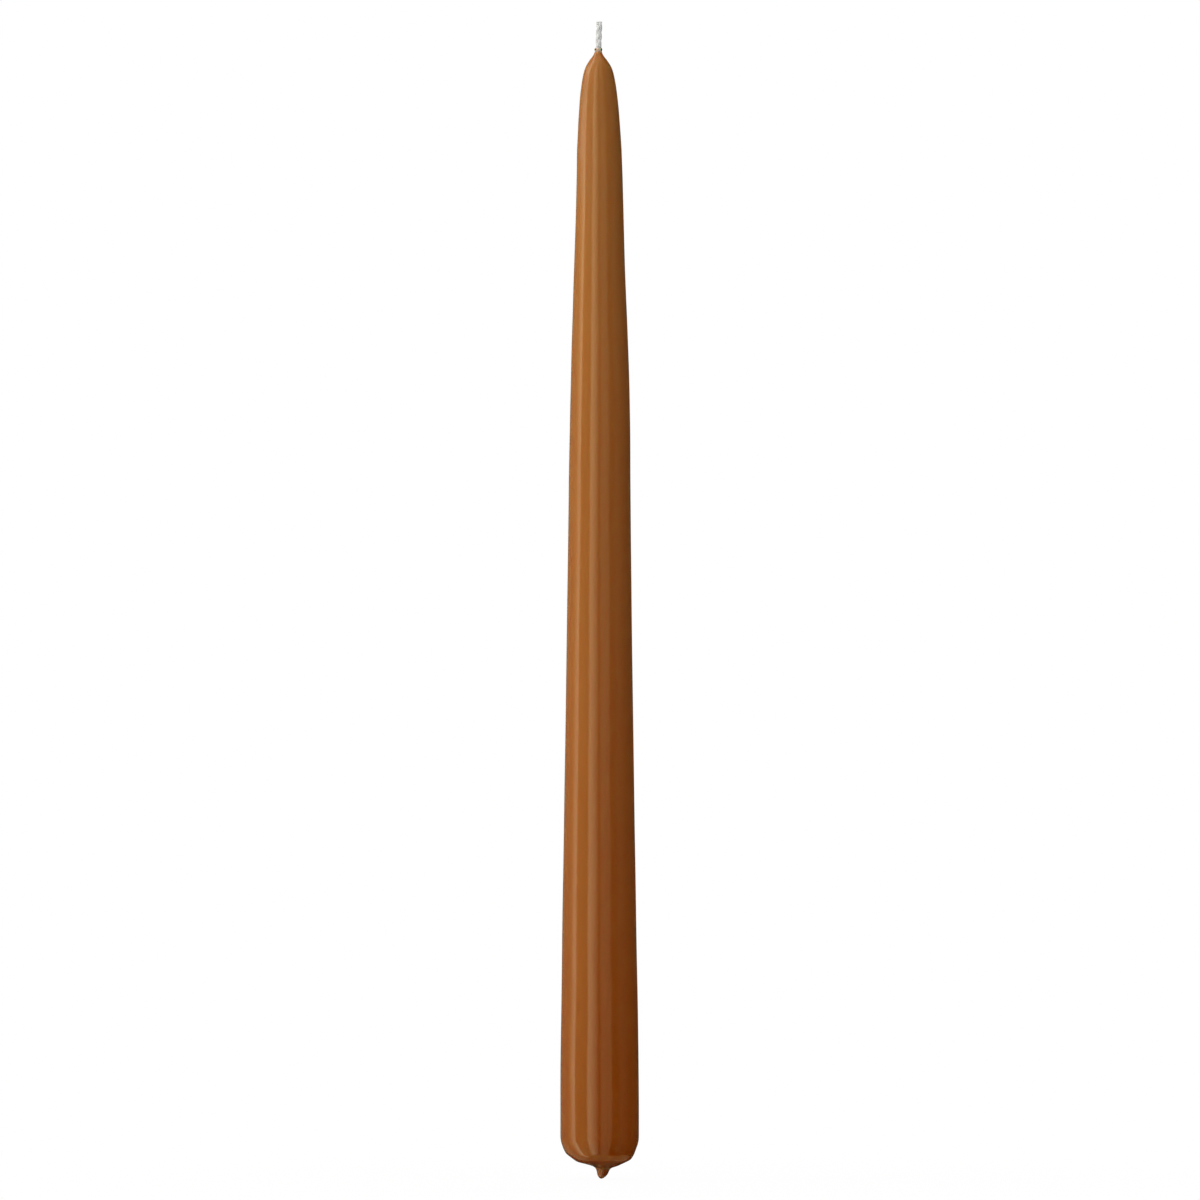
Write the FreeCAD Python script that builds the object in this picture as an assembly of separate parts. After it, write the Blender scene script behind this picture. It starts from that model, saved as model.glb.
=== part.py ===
import FreeCAD, Part
import math
import os

# A dipped taper candle: one wax body, and the plaited cotton wick that it was dipped on.
# Sizes are in millimetres. +Z runs up the candle, +X is to the right and -Y is the front.
# The origin is on the axis, at the lower end of the straight seat, so the rounded base hangs below it.

# Seat, the straight end that goes into a holder's cup
seat_diameter = 22.0
seat_length = 16.0

# Taper from the seat up to the shoulder: four long cones that the dips made run softly into each other.
# The first one eases off the seat over this length.
seat_ease = 2.0
lower_cone_length = 119.0
lower_cone_diameter = 18.27
swell_cone_length = 72.0
swell_cone_diameter = 16.66
steep_cone_length = 40.0
steep_cone_diameter = 13.72
upper_cone_length = 26.0
shoulder_diameter = 12.45
# Share of the shorter cone beside it that each bend takes up
bend_share = 0.45

# Rounded tip from the shoulder up to the neck
tip_height = 27.0
# Share of the tip's height, share of the way in from the shoulder to the neck
tip_stations = [
    (0.32, 0.095),
    (0.55, 0.190),
    (0.73, 0.325),
    (0.84, 0.480),
    (0.92, 0.725),
    (0.95, 0.845),
    (0.98, 0.945),
]

# Collar, where the wax thins to a film on the wick and ends in a small bead
neck_wall = 0.12
bead_wall = 0.23
bead_height = 1.15

# Rounded base, which hardened a little lopsided
bowl_depth = 7.8
# Share of the depth, then the reach to the left and to the right as shares of the seat's radius
bowl_stations = [
    (0.14, 0.988, 0.984),
    (0.43, 0.915, 0.911),
    (0.64, 0.785, 0.853),
    (0.78, 0.655, 0.765),
    (0.87, 0.560, 0.655),
    (0.93, 0.430, 0.555),
]

# Soft lobes of wax on the base: azimuth from the front in degrees, depth below the seat, height
lobes = [(38.0, 5.2, 0.32), (-25.0, 5.9, 0.22), (-115.0, 4.6, 0.20), (150.0, 5.4, 0.26)]
lobe_half_angle = 26.0
lobe_half_depth = 1.5

# Drip nub under the base, off the axis
nub_length = 3.55
nub_diameter = 3.3
nub_shift = 0.80
# Share of the nub's length, share of its radius, and how far each ring leans out of line
nub_stations = [
    (0.02, 2.15, 0.70),
    (0.16, 1.39, 0.25),
    (0.32, 1.11, 0.10),
    (0.48, 0.99, 0.00),
    (0.64, 0.88, -0.07),
    (0.80, 0.66, -0.20),
    (0.94, 0.30, -0.32),
]
nub_end_lean = -0.33

# Wick: a round cord inside the wax, and a plait of three strands where it stands out of the collar
wick_diameter = 1.8
wick_foot_cover = 2.8
wick_length_shown = 7.4
wick_lean = 0.39
plait_inset = 0.04
plait_pitch = 7.2
plait_start = 0.75
plait_root = 0.4
strand_diameter = 0.86
strand_rise = 0.26
heart_diameter = 0.9

# Points round a lofted ring, rings in a pitch of the plait, and how sharply its strands meet
ring_points = 24
rings_per_pitch = 22
crease_power = 9.0
join_tolerance = 0.001

seat_radius = seat_diameter / 2
shoulder_radius = shoulder_diameter / 2
wick_radius = wick_diameter / 2
neck_radius = wick_radius + neck_wall
plait_radius = wick_radius - plait_inset
strand_radius = strand_diameter / 2
taper_z = seat_length + seat_ease
waist_z = taper_z + lower_cone_length
swell_z = waist_z + swell_cone_length
throat_z = swell_z + steep_cone_length
shoulder_z = throat_z + upper_cone_length
neck_z = shoulder_z + tip_height
lip_z = neck_z + bead_height
wick_top_z = lip_z + wick_length_shown
wick_foot_z = wick_foot_cover - bowl_depth
up = FreeCAD.Vector(0, 0, 1)


def point(radius, z):
    return FreeCAD.Vector(radius, 0, z)


def ring_angles():
    return [2 * math.pi * step / ring_points for step in range(ring_points)]


def ring(points):
    """A closed curve through points that lie evenly round it, so that all rings of a loft match."""
    curve = Part.BSplineCurve()
    even = [step / ring_points for step in range(ring_points + 1)]
    curve.interpolate(Points=points, PeriodicFlag=True, Parameters=even)
    return Part.Wire(curve.toShape())


def taper_corners():
    """Where the cones of the taper would meet, from the top of the seat to the shoulder."""
    return [
        point(seat_radius, seat_length),
        point(seat_radius, taper_z),
        point(lower_cone_diameter / 2, waist_z),
        point(swell_cone_diameter / 2, swell_z),
        point(steep_cone_diameter / 2, throat_z),
        point(shoulder_radius, shoulder_z),
    ]


def bend(before, corner, after, reach):
    """The soft bend that takes a corner of the outline, tangent to the runs on both sides of it."""
    back = (before - corner).normalize() * reach
    ahead = (after - corner).normalize() * reach
    curve = Part.BezierCurve()
    curve.setPoles([corner + back, corner, corner + ahead])
    return curve


def taper_edges():
    """Outline of the taper: an ease off the seat, then straight cones joined by bends."""
    seat_top, *corners = taper_corners()
    ease = bend(seat_top, corners[0], corners[1], seat_ease)
    edges = [ease.toShape()]
    start = ease.EndPoint
    for before, corner, after in zip(corners, corners[1:], corners[2:]):
        reach = bend_share * min(corner.distanceToPoint(before), corner.distanceToPoint(after))
        curve = bend(before, corner, after, reach)
        edges.append(Part.LineSegment(start, curve.StartPoint).toShape())
        edges.append(curve.toShape())
        start = curve.EndPoint
    edges.append(Part.LineSegment(start, corners[-1]).toShape())
    return edges


def tip_points():
    """Outline of the rounded tip, from the shoulder to the neck."""
    points = [point(shoulder_radius, shoulder_z)]
    for along, share in tip_stations:
        radius = shoulder_radius + (neck_radius - shoulder_radius) * share
        points.append(point(radius, shoulder_z + along * tip_height))
    points.append(point(neck_radius, neck_z))
    return points


def turned_body():
    """Everything above the base is round, so its outline is turned about the axis."""
    corners = taper_corners()
    tip = Part.BSplineCurve()
    tip.interpolate(Points=tip_points(), InitialTangent=corners[-1] - corners[-2], FinalTangent=up)
    bead_middle = point(wick_radius + bead_wall, neck_z + bead_height / 2)
    bead = Part.Arc(point(neck_radius, neck_z), bead_middle, point(wick_radius, lip_z))
    edges = [
        Part.LineSegment(point(0, 0), point(seat_radius, 0)).toShape(),
        Part.LineSegment(point(seat_radius, 0), point(seat_radius, seat_length)).toShape(),
        *taper_edges(),
        tip.toShape(),
        bead.toShape(),
        Part.LineSegment(point(wick_radius, lip_z), point(0, lip_z)).toShape(),
        Part.LineSegment(point(0, lip_z), point(0, 0)).toShape(),
    ]
    outline = Part.Face(Part.Wire(edges))
    return outline.revolve(FreeCAD.Vector(0, 0, 0), up, 360)


def lobe_height(azimuth, depth):
    """How far the lobes stand out of the base at an azimuth in degrees from the front."""
    height = 0.0
    for lobe_azimuth, lobe_depth, lobe in lobes:
        turn = (azimuth - lobe_azimuth + 180) % 360 - 180
        around = math.exp(-(turn / lobe_half_angle) ** 2)
        down = math.exp(-((depth - lobe_depth) / lobe_half_depth) ** 2)
        height += lobe * around * down
    return height


def base_ring(radius, shift, depth):
    """A section of the base: a circle moved along X, with the lobes on it."""
    points = []
    for angle in ring_angles():
        azimuth = math.degrees(angle) + 90
        reach = radius + lobe_height(azimuth, depth)
        points.append(FreeCAD.Vector(shift + reach * math.cos(angle), reach * math.sin(angle), -depth))
    return ring(points)


def base():
    """The irregular base and its drip nub, lofted down from the end of the seat."""
    seat_end = [FreeCAD.Vector(seat_radius * math.cos(angle), seat_radius * math.sin(angle), 0)
                for angle in ring_angles()]
    sections = [ring(seat_end)]
    for share, left, right in bowl_stations:
        radius = seat_radius * (left + right) / 2
        shift = seat_radius * (right - left) / 2
        sections.append(base_ring(radius, shift, share * bowl_depth))
    for share, width, lean in nub_stations:
        sections.append(base_ring(width * nub_diameter / 2, nub_shift + lean, bowl_depth + share * nub_length))
    end = Part.Vertex(nub_shift + nub_end_lean, 0, -bowl_depth - nub_length)
    return Part.makeLoft(sections + [end], True, False)


def wax_body():
    body = turned_body().fuse([base()], join_tolerance).removeSplitter()
    bore = Part.makeCylinder(wick_radius, lip_z - wick_foot_z, FreeCAD.Vector(0, 0, wick_foot_z))
    return body.cut(bore).Solids[0]


def strand_centres(rise):
    """Middles of the three strands: each swings across once in a pitch, and front to back twice.

    At the front, the strands lean in toward the middle as they rise.
    """
    swing = plait_radius - strand_radius
    turns = [2 * math.pi * ((rise - plait_start) / plait_pitch + index / 3) for index in range(3)]
    return [(swing * math.cos(turn), -strand_rise * math.sin(2 * turn)) for turn in turns]


def plait_reach(angle, centres):
    """How far the plait reaches from its middle at an angle, round its heart and the strands that lie there."""
    reaches = [heart_diameter / 2]
    for x, y in centres:
        ahead = x * math.cos(angle) + y * math.sin(angle)
        aside = strand_radius ** 2 - (x * x + y * y - ahead * ahead)
        if aside > 0:
            reaches.append(max(0.0, ahead + math.sqrt(aside)))
    blended = sum(reach ** crease_power for reach in reaches) ** (1 / crease_power)
    return min(blended, plait_radius)


def plait_ring(rise):
    z = lip_z + rise
    lean = wick_lean * max(0.0, rise) / wick_length_shown
    centres = strand_centres(rise)
    points = []
    for angle in ring_angles():
        reach = plait_reach(angle, centres)
        points.append(FreeCAD.Vector(lean + reach * math.cos(angle), reach * math.sin(angle), z))
    return ring(points)


def wick():
    """The round cord inside the wax, and the plait that stands out of it."""
    length = plait_root + wick_length_shown
    steps = math.ceil(rings_per_pitch * length / plait_pitch)
    rings = [plait_ring(length * step / steps - plait_root) for step in range(steps + 1)]
    plait = Part.makeLoft(rings, True, False)
    cord = Part.makeCylinder(wick_radius, lip_z - wick_foot_z, FreeCAD.Vector(0, 0, wick_foot_z))
    return cord.fuse(plait).Solids[0]


parts = {"wax_body": wax_body(), "wick": wick()}
os.makedirs("parts", exist_ok=True)
for name, shape in parts.items():
    shape.exportStep("parts/" + name + ".step")
    print(name, "solids", len(shape.Solids), "valid", shape.isValid(), "volume", round(shape.Volume, 2))
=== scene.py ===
import math
import random

import bmesh
import bpy
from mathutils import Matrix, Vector, noise


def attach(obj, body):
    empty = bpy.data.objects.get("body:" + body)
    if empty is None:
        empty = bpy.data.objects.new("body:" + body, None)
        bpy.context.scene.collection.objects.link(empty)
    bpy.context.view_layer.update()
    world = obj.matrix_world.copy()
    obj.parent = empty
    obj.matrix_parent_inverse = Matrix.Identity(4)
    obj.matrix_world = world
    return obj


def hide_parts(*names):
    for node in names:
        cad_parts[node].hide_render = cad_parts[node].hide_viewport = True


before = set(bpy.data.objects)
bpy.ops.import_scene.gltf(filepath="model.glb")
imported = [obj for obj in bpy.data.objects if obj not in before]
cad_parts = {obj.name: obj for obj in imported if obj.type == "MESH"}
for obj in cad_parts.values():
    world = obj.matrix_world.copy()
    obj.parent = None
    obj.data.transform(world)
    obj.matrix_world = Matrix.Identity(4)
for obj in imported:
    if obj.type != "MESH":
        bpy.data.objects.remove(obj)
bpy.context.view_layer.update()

# A dipped taper candle with a plaited cotton wick. Shapes are drawn in millimetres and scaled to metres.
# +Z runs up the candle, +X is to the right, -Y is the front, and z is 0 at the seat's lower end.
mm = 0.001

# Wax: heights and radii of the corners that the taper's cones run between, from the seat to the shoulder
seat_radius = 11.0
taper_corners = [
    (1.0, seat_radius), (18.0, seat_radius), (137.0, 9.135), (209.0, 8.33), (249.0, 6.86), (275.0, 6.225),
]
# Share of the shorter cone beside it that each bend takes up
bend_share = 0.45

# Rounded tip, then the thin collar and its bead, as heights and radii
tip_stations = [
    (283.64, 5.715), (289.85, 5.196), (294.71, 4.488), (297.68, 3.667),
    (299.84, 2.381), (300.65, 1.737), (301.46, 1.236), (302.00, 1.010),
]
collar_stations = [(302.30, 1.030), (302.60, 1.090), (302.88, 1.080), (303.08, 1.000), (303.15, 0.900)]
collar_floor = (303.05, 0.0)

# How far the middle of the hand-dipped candle wanders to the right of the axis, by height
wander = [
    (-1.5, 0.06), (7.0, 0.08), (23.8, 0.03), (60.0, -0.04), (120.0, -0.04), (160.0, 0.0), (182.0, 0.04),
    (199.0, 0.14), (210.0, 0.17), (224.0, 0.10), (241.0, 0.02), (257.0, 0.06), (266.0, 0.05), (276.0, -0.05),
    (285.0, -0.14), (291.0, -0.22), (297.0, -0.27), (301.0, -0.34), (303.5, -0.33),
]

# Rounded base and drip nub: depth below the seat, radius, and how far the section sits right of the axis
base_sections = [
    (-1.00, 11.00, 0.06), (0.00, 10.97, 0.07), (1.11, 10.81, 0.09), (2.22, 10.47, 0.10), (3.34, 10.02, 0.12),
    (4.45, 9.41, 0.30), (5.56, 8.41, 0.63), (6.12, 7.77, 0.72), (6.67, 6.77, 0.70), (7.23, 5.10, 1.15),
    (7.79, 3.53, 1.50), (8.34, 2.30, 1.12), (8.90, 1.86, 0.97), (9.46, 1.64, 0.91), (10.01, 1.47, 0.83),
    (10.57, 1.14, 0.71), (11.12, 0.58, 0.57), (11.35, 0.00, 0.50),
]
# Below this height the sections' own shifts take the place of the wander
base_top_z = 0.99
# From this depth, and over this run, a shift comes to move the front and back of a ring as well as its sides
whole_shift_depth = 5.5
whole_shift_run = 2.0
# Lobes of wax on the base: azimuth from the front in degrees, depth below the seat, height
base_lobes = [(42.0, 5.3, 0.30), (-32.0, 5.9, 0.24), (-115.0, 4.6, 0.20), (150.0, 5.4, 0.26)]
lobe_half_angle = 26.0
lobe_half_depth = 1.5

# Faint ripples left by the dips: how deep, and their size across and along the candle
ripple_depth = 0.14
ripple_width = 9.0
ripple_height = 26.0

# Fineness of the wax: segments round it, height of a row on each stretch, and steps from station to station
wax_segments = 160
body_row = 2.5
tip_row = 0.45
base_row = 0.25
bend_steps = 12
base_steps = 24
tip_steps = 16
collar_steps = 4

# Wick: a round cord inside the wax, which ends under the collar
wick_foot_z = -5.0
wick_lip_z = 303.15
wick_top_z = 310.55
wick_radius = 0.9
cord_inset = 0.02
cord_cover = 0.3
cord_rows = 60
cord_segments = 24

# Plait of three strands where the wick stands out: its foot lies a little left of its top
plait_root = 0.5
plait_start = 0.75
plait_pitch = 7.2
plait_swing = 0.35
plait_rise = 0.22
plait_foot_x = -0.31
plait_top_x = -0.05

# Yarns that each strand is twisted from, round a thicker one in its middle
yarn_seed = 11
yarn_count = 18
yarn_radius = 0.074
yarn_ring = 0.430
heart_radius = 0.484
yarn_twist_pitch = 4.6
yarn_wobble = 0.05
yarn_swell = 0.12
yarn_steps = 66
# How far short of the top a yarn may end, and the depth and roughness of the cut across them all
yarn_shortfall = (0.02, 0.12)
cut_depth = 0.05
cut_roughness = 0.04

# Loose fibres: where along the plait they start, how far from a strand's middle, and how long they are
hair_seed = 5
hair_count = 60
hair_radius = 0.008
hair_rises = (0.5, 6.9)
hair_root = 0.32
hair_lengths = (0.20, 0.50)
hair_steps = [0.0, 0.25, 0.5, 0.75, 1.0]
hair_widths = [1.0, 0.95, 0.85, 0.7, 0.4]

# Colours of the wax at three heights in metres, growing lighter and paler toward the tip as a painted sheen
# of the light from above, then of its clouds and its gloss
painted_sheen_heights = (-0.012, 0.13, 0.304)
base_colour = (0.234, 0.048, 0.0015, 1)
middle_colour_with_painted_sheen = (0.274, 0.081, 0.013, 1)
top_colour_with_painted_sheen = (0.297, 0.115, 0.0242, 1)
cloud_colour = (0.30, 0.105, 0.022, 1)
gloss_colour = (1.0, 0.80, 0.42, 1)
# Pale film on the collar, between two heights, and painted shadow spots in it where the strands leave small
# pits: x, z, half width and half height in metres
film_heights = (0.30165, 0.30255)
film_colour = (0.46, 0.375, 0.285, 1)
collar_shadow_spots = [(-0.00110, 0.30272, 0.00026, 0.0003), (0.0006, 0.30275, 0.0003, 0.00045)]
painted_shadow_colour = (0.06, 0.035, 0.022, 1)
# Undyed cotton, between the shade and the light of its specks
cotton_shade = (0.535, 0.54, 0.54, 1)
cotton_light = (0.60, 0.605, 0.605, 1)
noise_detail = 3.0

# Studio in metres, with the sensor's width in millimetres
camera_distance = 4.0
camera_x = 0.00014
camera_z = 0.14963
frame_height = 0.33376
sensor_width = 36.0
screen_radius = 0.6
screen_bottom = -1.25
screen_top = 1.25
degrees_per_panel = 3
lamp_size = 0.5
lamp_target = (0, 0, 0.15)
fill_level = 0.32
floor_z = -0.01140
floor_reach = 6.0
floor_colour = (0.65, 0.65, 0.65, 1)


def catmull_rom(stations, steps):
    """Points along a smooth line through stations, with that many steps between two of them."""
    points = [Vector(station) for station in stations]
    padded = [2 * points[0] - points[1], *points, 2 * points[-1] - points[-2]]
    line = []
    for before, start, end, after in zip(padded, padded[1:], padded[2:], padded[3:]):
        slope = end - before
        bow = 2 * before - 5 * start + 4 * end - after
        twist = 3 * start - before - 3 * end + after
        for step in range(steps):
            t = step / steps
            line.append(start + (slope * t + bow * t ** 2 + twist * t ** 3) / 2)
    line.append(points[-1])
    return line


def evenly(line, spacing):
    """The same line with its points about that far apart."""
    lengths = [0.0]
    for a, b in zip(line, line[1:]):
        lengths.append(lengths[-1] + (b - a).length)
    count = max(1, round(lengths[-1] / spacing))
    points, index = [], 0
    for step in range(count + 1):
        goal = lengths[-1] * step / count
        while index < len(line) - 2 and lengths[index + 1] < goal:
            index += 1
        span = max(lengths[index + 1] - lengths[index], 1e-9)
        points.append(line[index].lerp(line[index + 1], (goal - lengths[index]) / span))
    return points


def bent_taper():
    """The taper's outline: straight cones with a soft bend at each corner between them."""
    corners = [Vector(corner) for corner in taper_corners]
    line = [corners[0]]
    for before, corner, after in zip(corners, corners[1:], corners[2:]):
        reach = bend_share * min((corner - before).length, (after - corner).length)
        start = corner + (before - corner).normalized() * reach
        end = corner + (after - corner).normalized() * reach
        for step in range(bend_steps + 1):
            t = step / bend_steps
            line.append(start * (1 - t) ** 2 + corner * 2 * t * (1 - t) + end * t ** 2)
    line.append(corners[-1])
    return line


def new_object(name, mesh, material):
    """Turns a bmesh into a linked object at the origin."""
    data = bpy.data.meshes.new(name)
    mesh.to_mesh(data)
    mesh.free()
    data.shade_smooth()
    data.materials.append(material)
    made = bpy.data.objects.new(name, data)
    bpy.context.scene.collection.objects.link(made)
    return made


def new_piece(name, mesh, material):
    """A finished piece of the candle, scaled from millimetres, on the candle's one body."""
    bmesh.ops.scale(mesh, vec=(mm, mm, mm), verts=mesh.verts)
    piece = new_object(name, mesh, material)
    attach(piece, "root")
    return piece


def turned(outline, segments):
    """A closed shape turned about the axis from (height, radius) points, with its poles closed."""
    mesh = bmesh.new()
    points = [mesh.verts.new((radius, 0, z)) for z, radius in outline]
    edges = [mesh.edges.new(pair) for pair in zip(points, points[1:])]
    bmesh.ops.spin(mesh, geom=points + edges, cent=(0, 0, 0), axis=(0, 0, 1), angle=2 * math.pi,
                   steps=segments, use_merge=True, use_duplicate=False)
    bmesh.ops.remove_doubles(mesh, verts=mesh.verts, dist=1e-5)
    bmesh.ops.recalc_face_normals(mesh, faces=mesh.faces)
    return mesh


def lobe_height(azimuth, depth):
    """How far the lobes stand out of the base at an azimuth in degrees from the front."""
    height = 0.0
    for lobe_azimuth, lobe_depth, lobe in base_lobes:
        turn = (azimuth - lobe_azimuth + 180) % 360 - 180
        away = math.hypot(turn / lobe_half_angle, (depth - lobe_depth) / lobe_half_depth)
        height += lobe * math.exp(-away ** 4)
    return height


def sideways(z):
    """How far the candle's middle is off the axis at a height."""
    for (low, start), (high, end) in zip(wander, wander[1:]):
        if z <= high:
            share = max(0.0, (z - low) / (high - low))
            return start + (end - start) * (3 - 2 * share) * share ** 2
    return wander[-1][1]


def wax_surface():
    """The whole wax body as one turned skin, which then gets its ripples, lobes and sideways shifts."""
    base = evenly(catmull_rom(base_sections, base_steps), base_row)
    taper = evenly(bent_taper(), body_row)
    tip = evenly(catmull_rom([taper_corners[-1], *tip_stations], tip_steps), tip_row)
    collar = catmull_rom([tip_stations[-1], *collar_stations], collar_steps)
    outline = [(-depth, radius) for depth, radius, _ in reversed(base)]
    for line in (taper, tip, collar):
        outline += [tuple(point) for point in line[1:]]
    outline.append(collar_floor)
    mesh = turned(outline, wax_segments)
    for vert in mesh.verts:
        x, y, z = vert.co
        radius = math.hypot(x, y)
        off_axis = radius > 1e-6
        push, shift = 1.0, sideways(z)
        if off_axis:
            swell = noise.noise(Vector((x / ripple_width, y / ripple_width, z / ripple_height)))
            push += ripple_depth * min(1.0, radius / seat_radius) ** 2 * (swell - 1) / 2 / radius
        if z < base_top_z:
            shift = next(aside for depth, _, aside in base if depth > -z - 1e-4)
            if off_axis:
                whole = min(1.0, max(0.0, (-z - whole_shift_depth) / whole_shift_run))
                push += lobe_height(math.degrees(math.atan2(y, x)) + 90, -z) / radius
                shift *= whole + (1 - whole) * abs(x) / radius
        vert.co = (x * push + shift, y * push, z)
    return mesh


def cord():
    """The round wick inside the wax, which follows the candle's middle."""
    top = wick_lip_z - cord_cover
    rows = [(wick_foot_z + step * (top - wick_foot_z) / cord_rows, wick_radius - cord_inset)
            for step in range(cord_rows + 1)]
    mesh = turned([(rows[0][0], 0.0), *rows, (rows[-1][0], 0.0)], cord_segments)
    for vert in mesh.verts:
        vert.co.x += sideways(vert.co.z)
    return mesh


def strand_centre(rise, index):
    """Middle of a strand: it swings across once in a pitch, and front to back twice."""
    turn = 2 * math.pi * ((rise - plait_start) / plait_pitch + index / 3)
    middle = plait_foot_x + (plait_top_x - plait_foot_x) * max(0.0, rise) / (wick_top_z - wick_lip_z)
    x = middle + plait_swing * math.cos(turn)
    return Vector((x, -plait_rise * math.sin(2 * turn), wick_lip_z + rise))


def tube_curve(name, radius):
    """An empty curve whose lines become closed tubes of about that radius."""
    curve = bpy.data.curves.new(name, "CURVE")
    curve.dimensions = "3D"
    curve.use_fill_caps = True
    curve.bevel_depth = radius
    curve.bevel_resolution = 1
    return curve


def add_line(curve, points, widths):
    """One tube of the curve through points, with its width at each as a share of the curve's radius."""
    spline = curve.splines.new("POLY")
    spline.points.add(len(points) - 1)
    for spot, point, width in zip(spline.points, points, widths):
        spot.co = (*point, 1)
        spot.radius = width


def tube_mesh(curve):
    """The curve's tubes as a bmesh with closed ends; the curve itself goes."""
    holder = bpy.data.objects.new(curve.name, curve)
    bpy.context.scene.collection.objects.link(holder)
    bpy.context.view_layer.update()
    data = bpy.data.meshes.new_from_object(holder.evaluated_get(bpy.context.evaluated_depsgraph_get()))
    bpy.data.objects.remove(holder)
    mesh = bmesh.new()
    mesh.from_mesh(data)
    bpy.data.meshes.remove(data)
    bmesh.ops.remove_doubles(mesh, verts=mesh.verts, dist=1e-5)
    bmesh.ops.recalc_face_normals(mesh, faces=mesh.faces)
    return mesh


def plait():
    """Three strands, each of yarns twisted round a thicker one in the middle, cut nearly flat at the top."""
    draw = random.Random(yarn_seed)
    curve = tube_curve("plait", yarn_radius)
    length = plait_root + wick_top_z - wick_lip_z
    for strand in range(3):
        for yarn in range(yarn_count + 1):
            shortfall = draw.uniform(*yarn_shortfall)
            phase = yarn * 2 * math.pi / yarn_count + strand
            points, widths = [], []
            for step in range(yarn_steps + 1):
                rise = (length - shortfall) * step / yarn_steps - plait_root
                middle = strand_centre(rise, strand)
                width = heart_radius / yarn_radius
                if yarn < yarn_count:
                    turn = phase + 2 * math.pi * rise / yarn_twist_pitch
                    wobble = 1 + yarn_wobble * noise.noise(Vector((strand * 3.1 + yarn, rise * 1.3, 0.5)))
                    middle += Vector((math.cos(turn), math.sin(turn), 0)) * yarn_ring * wobble
                    width = 1.0 + yarn_swell * noise.noise(Vector((yarn * 1.7, strand * 2.3, rise * 1.9)))
                points.append(middle)
                widths.append(width)
            add_line(curve, points, widths)
    mesh = tube_mesh(curve)
    for vert in mesh.verts:
        top = wick_top_z - cut_depth + cut_roughness * noise.noise(vert.co * 3.0)
        vert.co.z = min(vert.co.z, top)
    return mesh


def hairs():
    """Short loose fibres that stand out of the plait."""
    draw = random.Random(hair_seed)
    curve = tube_curve("hairs", hair_radius)
    top = wick_top_z - cut_depth
    for _ in range(hair_count):
        middle = strand_centre(draw.uniform(*hair_rises), draw.randrange(3))
        turn = draw.uniform(0, 2 * math.pi)
        out = Vector((math.cos(turn), math.sin(turn), 0))
        side = Vector((-out.y, out.x, 0)) * draw.uniform(-0.8, 0.8)
        climb = Vector((0, 0, draw.uniform(-0.5, 0.6)))
        length = draw.uniform(*hair_lengths)
        points = []
        for t in hair_steps:
            point = middle + out * hair_root + (out * t + (climb + side) * t * t) * length
            point.z = min(point.z, top)
            points.append(point)
        add_line(curve, points, hair_widths)
    return tube_mesh(curve)


class Paint:
    """A material's node tree, with short calls for the nodes that the finishes below are made of."""

    def __init__(self, name):
        self.material = bpy.data.materials.new(name)
        self.material.use_nodes = True
        self.tree = self.material.node_tree
        self.shader = self.tree.nodes["Principled BSDF"]

    def set(self, **values):
        """Sets plain values on the shader, with an underscore for each space in a socket's name."""
        for name, value in values.items():
            self.shader.inputs[name.replace("_", " ")].default_value = value

    def link(self, output, target):
        self.tree.links.new(output, target)

    def fill(self, socket, value):
        """Links an output into a socket, or sets a plain value on it."""
        if isinstance(value, bpy.types.NodeSocket):
            self.tree.links.new(value, socket)
        else:
            socket.default_value = value

    def place(self):
        return self.tree.nodes.new("ShaderNodeTexCoord").outputs["Object"]

    def axes(self, vector):
        split = self.tree.nodes.new("ShaderNodeSeparateXYZ")
        self.link(vector, split.inputs["Vector"])
        return split.outputs

    def math(self, operation, first, second):
        made = self.tree.nodes.new("ShaderNodeMath")
        made.operation = operation
        self.fill(made.inputs[0], first)
        self.fill(made.inputs[1], second)
        return made.outputs["Value"]

    def ramp(self, value, start, end, low=0.0, high=1.0, kind="SMOOTHSTEP"):
        """Value mapped from start..end to low..high, and held there outside them."""
        made = self.tree.nodes.new("ShaderNodeMapRange")
        made.interpolation_type = kind
        self.fill(made.inputs["Value"], value)
        for name, number in (("From Min", start), ("From Max", end), ("To Min", low), ("To Max", high)):
            made.inputs[name].default_value = number
        return made.outputs["Result"]

    def mix(self, share, first, second):
        """Colour between two others. Its sockets share their names with others, so they go by number."""
        made = self.tree.nodes.new("ShaderNodeMix")
        made.data_type = "RGBA"
        self.fill(made.inputs["Factor"], share)
        self.fill(made.inputs[6], first)
        self.fill(made.inputs[7], second)
        return made.outputs[2]

    def stretch(self, vector, scale):
        made = self.tree.nodes.new("ShaderNodeMapping")
        self.link(vector, made.inputs["Vector"])
        made.inputs["Scale"].default_value = scale
        return made.outputs["Vector"]

    def noise(self, vector, scale, rough=0.5):
        made = self.tree.nodes.new("ShaderNodeTexNoise")
        self.link(vector, made.inputs["Vector"])
        made.inputs["Scale"].default_value = scale
        made.inputs["Detail"].default_value = noise_detail
        made.inputs["Roughness"].default_value = rough
        return made.outputs["Fac"]

    def bump(self, height, distance, strength=1.0):
        made = self.tree.nodes.new("ShaderNodeBump")
        made.inputs["Strength"].default_value = strength
        made.inputs["Distance"].default_value = distance
        self.link(height, made.inputs["Height"])
        self.link(made.outputs["Normal"], self.shader.inputs["Normal"])


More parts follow.
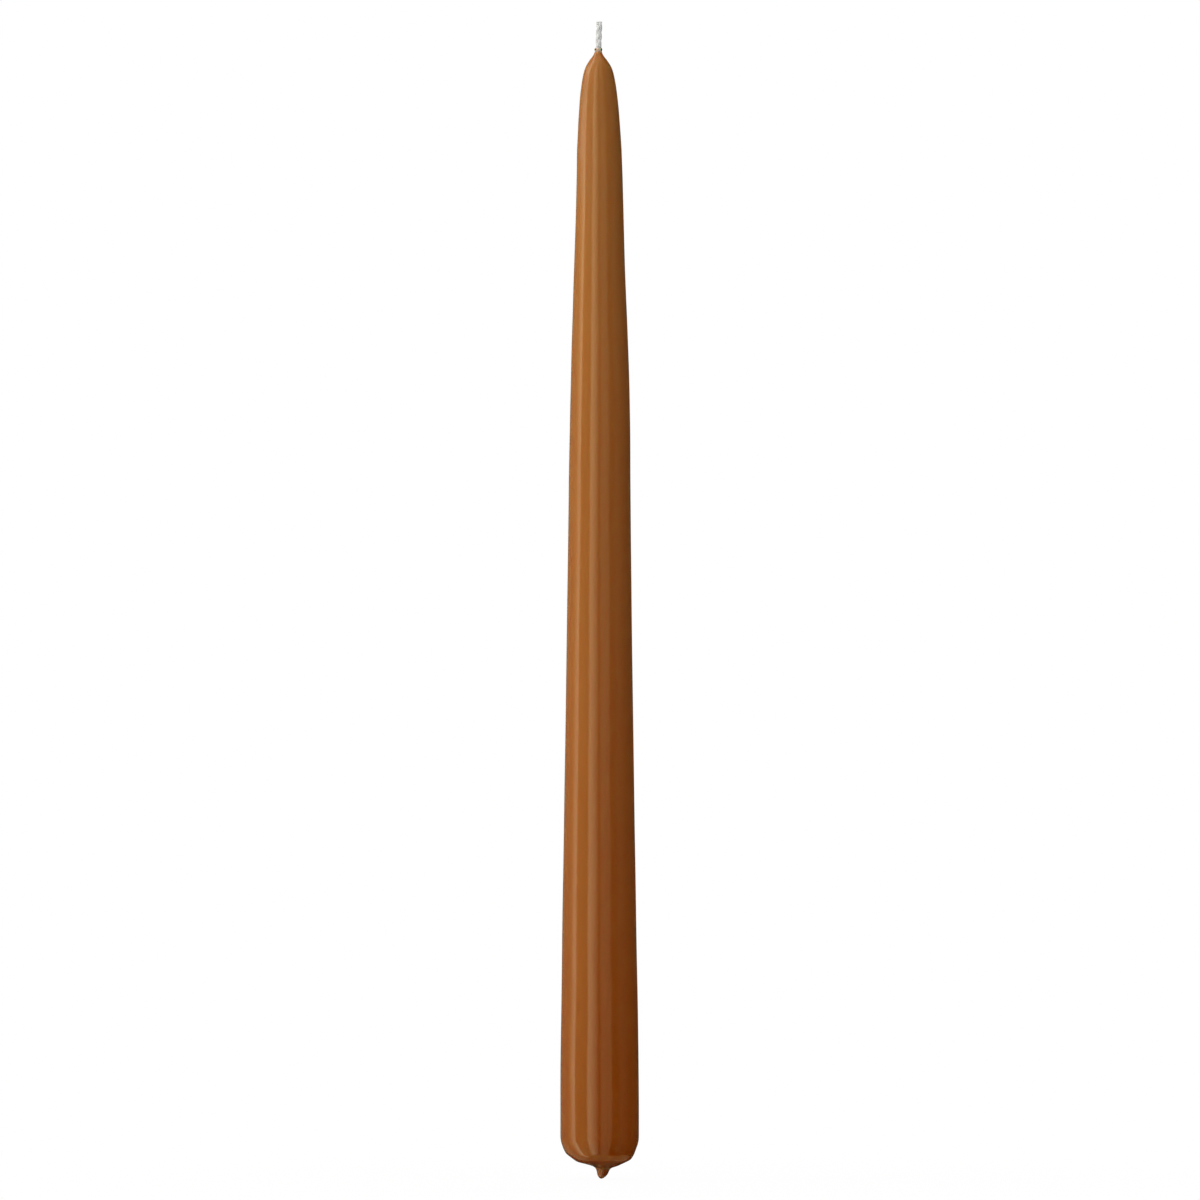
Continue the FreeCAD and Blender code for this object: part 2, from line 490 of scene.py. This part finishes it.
def wax_paint():
    """Glossy dipped wax, darker toward the base and lighter toward the tip, the lightening being a painted
    sheen of the light from above, with a pale film round the wick that holds painted shadow spots.
    """
    paint = Paint("dipped wax")
    place = paint.place()
    x, _, z = paint.axes(place)
    foot, middle, top = painted_sheen_heights
    # Lighter and paler toward the tip: painted sheen of the light from above
    colour = paint.mix(paint.ramp(z, foot, middle, kind="LINEAR"), base_colour, middle_colour_with_painted_sheen)
    colour = paint.mix(paint.ramp(z, middle, top, kind="LINEAR"), colour, top_colour_with_painted_sheen)
    cloud = paint.noise(paint.stretch(place, (1, 1, 0.25)), 260.0)
    colour = paint.mix(paint.ramp(cloud, 0.35, 0.65, 0.0, 0.10), colour, cloud_colour)
    film = paint.ramp(z, *film_heights)
    colour = paint.mix(film, colour, film_colour)
    # Dark spots on the film: painted shadow of the small pits between the strands and the collar
    for spot_x, spot_z, width, height in collar_shadow_spots:
        across = paint.math("MULTIPLY", paint.math("SUBTRACT", x, spot_x), 1 / width)
        up = paint.math("MULTIPLY", paint.math("SUBTRACT", z, spot_z), 1 / height)
        away = paint.math("ADD", paint.math("POWER", across, 2.0), paint.math("POWER", up, 2.0))
        colour = paint.mix(paint.ramp(away, 1.5, 0.3), colour, painted_shadow_colour)
    paint.link(colour, paint.shader.inputs["Base Color"])
    for socket, on_wax, on_film in (
        ("Roughness", 0.07, 0.45),
        ("Specular IOR Level", 0.5, 0.1),
        ("Subsurface Scale", 0.003, 0.0003),
    ):
        paint.link(paint.ramp(film, 0.0, 1.0, on_wax, on_film), paint.shader.inputs[socket])
    paint.bump(paint.noise(place, 1300.0), 0.000004)
    paint.set(IOR=1.45, Specular_Tint=gloss_colour)
    paint.set(Subsurface_Weight=1.0, Subsurface_Radius=(1.0, 0.42, 0.18))
    return paint.material


def cotton_paint():
    """Undyed cotton: soft, dull and a little uneven in colour along its yarns."""
    paint = Paint("plaited cotton")
    speck = paint.noise(paint.stretch(paint.place(), (1, 1, 0.35)), 9000.0, 0.6)
    colour = paint.mix(paint.ramp(speck, 0.3, 0.7), cotton_shade, cotton_light)
    paint.link(colour, paint.shader.inputs["Base Color"])
    paint.bump(speck, 0.00002, 0.3)
    paint.set(Roughness=0.9, Specular_IOR_Level=0.15, Sheen_Weight=0.1)
    return paint.material


def seen_as_white(tree):
    """1 for the camera, gloss and glass, which see a plain white background, and 0 for other light."""
    path = tree.nodes.new("ShaderNodeLightPath")
    total = path.outputs["Is Camera Ray"]
    for ray in ("Is Glossy Ray", "Is Transmission Ray"):
        both = tree.nodes.new("ShaderNodeMath")
        both.operation = "MAXIMUM"
        tree.links.new(total, both.inputs[0])
        tree.links.new(path.outputs[ray], both.inputs[1])
        total = both.outputs["Value"]
    return total


def screen_paint(name, colour):
    """A lit studio screen, as bright at each place as its glow attribute says."""
    material = bpy.data.materials.new(name)
    material.use_nodes = True
    tree = material.node_tree
    tree.nodes.clear()
    glow = tree.nodes.new("ShaderNodeAttribute")
    glow.attribute_name = "glow"
    light = tree.nodes.new("ShaderNodeEmission")
    light.inputs["Color"].default_value = colour
    out = tree.nodes.new("ShaderNodeOutputMaterial")
    tree.links.new(glow.outputs["Fac"], light.inputs["Strength"])
    tree.links.new(light.outputs["Emission"], out.inputs["Surface"])
    return material


def glow_at(stops, place):
    """The level between (place, level) stops."""
    for (start, low), (end, high) in zip(stops, stops[1:]):
        if place <= end:
            return low + (high - low) * max(0.0, (place - start) / (end - start))
    return stops[-1][1]


def light_up(made, level):
    """Gives a screen its glow, from a level at each place on it, and hides it from the camera."""
    glow = made.data.attributes.new("glow", "FLOAT", "POINT")
    for vert in made.data.vertices:
        glow.data[vert.index].value = level(vert.co)
    made.visible_camera = False


def screen(name, stops, rows, material):
    """A curved screen round the candle, from (azimuth, glow) stops and rows of (height, share of glow).

    Azimuth 0 is the camera's side, and positive is to the right.
    """
    start, end = stops[0][0], stops[-1][0]
    turn = math.radians(start - 90)
    x, y = math.cos(turn) * screen_radius, math.sin(turn) * screen_radius
    mesh = bmesh.new()
    spots = [mesh.verts.new((x, y, z)) for z, _ in rows]
    edges = [mesh.edges.new(pair) for pair in zip(spots, spots[1:])]
    panels = max(2, round((end - start) / degrees_per_panel))
    bmesh.ops.spin(mesh, geom=spots + edges, cent=(0, 0, 0), axis=(0, 0, 1), angle=math.radians(end - start),
                   steps=panels, use_merge=False, use_duplicate=False)

    def level(place):
        azimuth = math.degrees(math.atan2(place.y, place.x)) + 90
        azimuth += 360 * round(((start + end) / 2 - azimuth) / 360)
        return glow_at(stops, azimuth) * glow_at(rows, place.z)

    light_up(new_object(name, mesh, material), level)


def flat_card(name, panels, reach, z, material):
    """A level square that reaches that far from the axis, at a height."""
    mesh = bmesh.new()
    bmesh.ops.create_grid(mesh, x_segments=panels, y_segments=panels, size=reach)
    bmesh.ops.translate(mesh, vec=(0, 0, z), verts=mesh.verts)
    return new_object(name, mesh, material)


def lamp(name, spot, glow):
    """A square softbox aimed at the candle, as bright as a screen of that glow, with no gloss of its own."""
    light = bpy.data.lights.new(name, "AREA")
    light.size = lamp_size
    light.energy = math.pi * lamp_size ** 2 * glow
    holder = bpy.data.objects.new(name, light)
    holder.location = spot
    holder.rotation_euler = (Vector(spot) - Vector(lamp_target)).to_track_quat("Z", "Y").to_euler()
    holder.visible_glossy = False
    bpy.context.scene.collection.objects.link(holder)


def camera():
    """The camera in front of the candle, level and far away."""
    lens = bpy.data.cameras.new("camera")
    lens.sensor_width = sensor_width
    lens.lens = sensor_width * camera_distance / frame_height
    lens.clip_start = 0.1
    lens.clip_end = 50.0
    viewer = bpy.data.objects.new("camera", lens)
    viewer.location = (camera_x, -camera_distance, camera_z)
    viewer.rotation_euler = (math.pi / 2, 0, 0)
    bpy.context.scene.collection.objects.link(viewer)
    bpy.context.scene.camera = viewer


def lights():
    """Softboxes on the left, a scrim in front, a dark flag on the right and warm cards behind."""
    lit = screen_paint("white screen", (1, 1, 1, 1))
    warm = screen_paint("warm screen", (1.0, 0.97, 0.86, 1))
    card = screen_paint("warm card", (1.0, 0.88, 0.52, 1))
    even = [(screen_bottom, 1.0), (screen_top, 1.0)]
    grey = [(screen_bottom, 1.6), (0.0, 1.3), (0.13, 1.45), (0.21, 1.05), (0.30, 1.2)]
    side = [(screen_bottom, 1.3), (-0.10, 1.0), (0.19, 1.0), (0.30, 1.2)]
    top = [(0.30, 1.1), (0.40, 0.85), (0.48, 0.9), (0.56, 1.4), (0.75, 1.1), (screen_top, 1.2)]
    deep = [(screen_bottom, 1.0), (-0.45, 1.0), (-0.30, 0.1)]
    under = [(screen_bottom, 1.9), (-0.60, 1.9), (-0.25, 1.6), (-0.08, 1.0), (screen_top, 1.0)]
    low = [(-0.30, 0.3), (-0.20, 0.3), (0.10, 1.0), (screen_top, 1.0)]
    high_stops = [(-120, 1.0), (-100, 2.2), (-84, 3.4), (-77, 3.6), (-75, 1.1), (-36, 1.0)]
    screen("left_softbox", [(-92, 2.2), (-84, 3.4), (-76, 3.6)], side, warm)
    screen("left_grey_card", [(-76, 1.1), (-50, 0.95), (-36, 1.15)], grey, card)
    screen("left_high_softbox", high_stops, top, lit)
    screen("left_front_scrim", [(-36, 3.3), (-25, 3.2), (-3, 0.3), (0, 0.15)], even, lit)
    screen("camera_gap", [(0, 0.1), (3, 0.1)], even, lit)
    screen("right_front_scrim", [(3, 0.70), (10, 0.83), (28, 0.75), (36, 0.60)], even, lit)
    screen("right_flag", [(36, 0.0), (54, 0.0), (64, 0.22), (82, 0.15), (92, 0.05)], even, lit)
    screen("rear_card", [(92, 0.05), (150, 0.06), (180, 0.18), (205, 0.30)], low, card)
    screen("rear_low_card", [(92, 0.4), (115, 0.6), (150, 0.6), (168, 0.1), (205, 0.1)], deep, card)
    screen("left_rear_card", [(205, 0.30), (222, 0.36), (240, 0.55)], under, card)
    screen("left_side_card", [(-120, 0.65), (-110, 0.7), (-98, 1.4), (-92, 2.2)], side, card)
    table = flat_card("table_card", 12, screen_radius, screen_bottom, card)
    light_up(table, lambda place: glow_at([(-0.1, 1.0), (screen_radius, 0.3)], place.y))
    lamp("high_right_softbox", (0.40, -0.20, 1.05), 5.0)
    lamp("high_front_softbox", (-0.15, -0.42, 1.05), 0.6)
    lamp("rear_softbox", (0.0, 0.50, 0.50), 5.0)


def background():
    """White where it is seen, and a weaker fill light on everything else."""
    world = bpy.data.worlds.new("white studio")
    bpy.context.scene.world = world
    world.use_nodes = True
    tree = world.node_tree
    white = tree.nodes["Background"]
    white.inputs["Color"].default_value = (1, 1, 1, 1)
    level = tree.nodes.new("ShaderNodeMapRange")
    level.inputs["To Min"].default_value = fill_level
    level.inputs["To Max"].default_value = 1.0
    tree.links.new(seen_as_white(tree), level.inputs["Value"])
    tree.links.new(level.outputs["Result"], white.inputs["Strength"])


def floor():
    """A floor just under the nub, pale grey to the light and nearly white where it is seen."""
    paint = Paint("white floor")
    paint.set(Base_Color=floor_colour, Roughness=0.9, Specular_IOR_Level=0.0)
    away = paint.tree.nodes.new("ShaderNodeVectorMath")
    away.operation = "LENGTH"
    paint.link(paint.place(), away.inputs[0])
    whiteness = paint.ramp(away.outputs["Value"], 0.02, 0.25, 0.97, 1.0)
    share = paint.math("MULTIPLY", seen_as_white(paint.tree), whiteness)
    white = paint.tree.nodes.new("ShaderNodeEmission")
    blend = paint.tree.nodes.new("ShaderNodeMixShader")
    paint.link(share, blend.inputs["Fac"])
    paint.link(paint.shader.outputs["BSDF"], blend.inputs[1])
    paint.link(white.outputs["Emission"], blend.inputs[2])
    paint.link(blend.outputs["Shader"], paint.tree.nodes["Material Output"].inputs["Surface"])
    ground = flat_card("floor", 8, floor_reach, floor_z, paint.material)
    ground.visible_glossy = False


def candle():
    """The finished pieces: the wax, the cord inside it, the plait above it and the plait's loose fibres."""
    wax = new_piece("wax_skin", wax_surface(), wax_paint())
    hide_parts("wax_body")
    cotton = cotton_paint()
    new_piece("wick_cord", cord(), cotton)
    strands = new_piece("wick_plait", plait(), cotton)
    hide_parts("wick")
    new_piece("wick_fibres", hairs(), cotton)


bpy.context.scene.view_settings.view_transform = "Standard"
camera()
lights()
background()
floor()
candle()
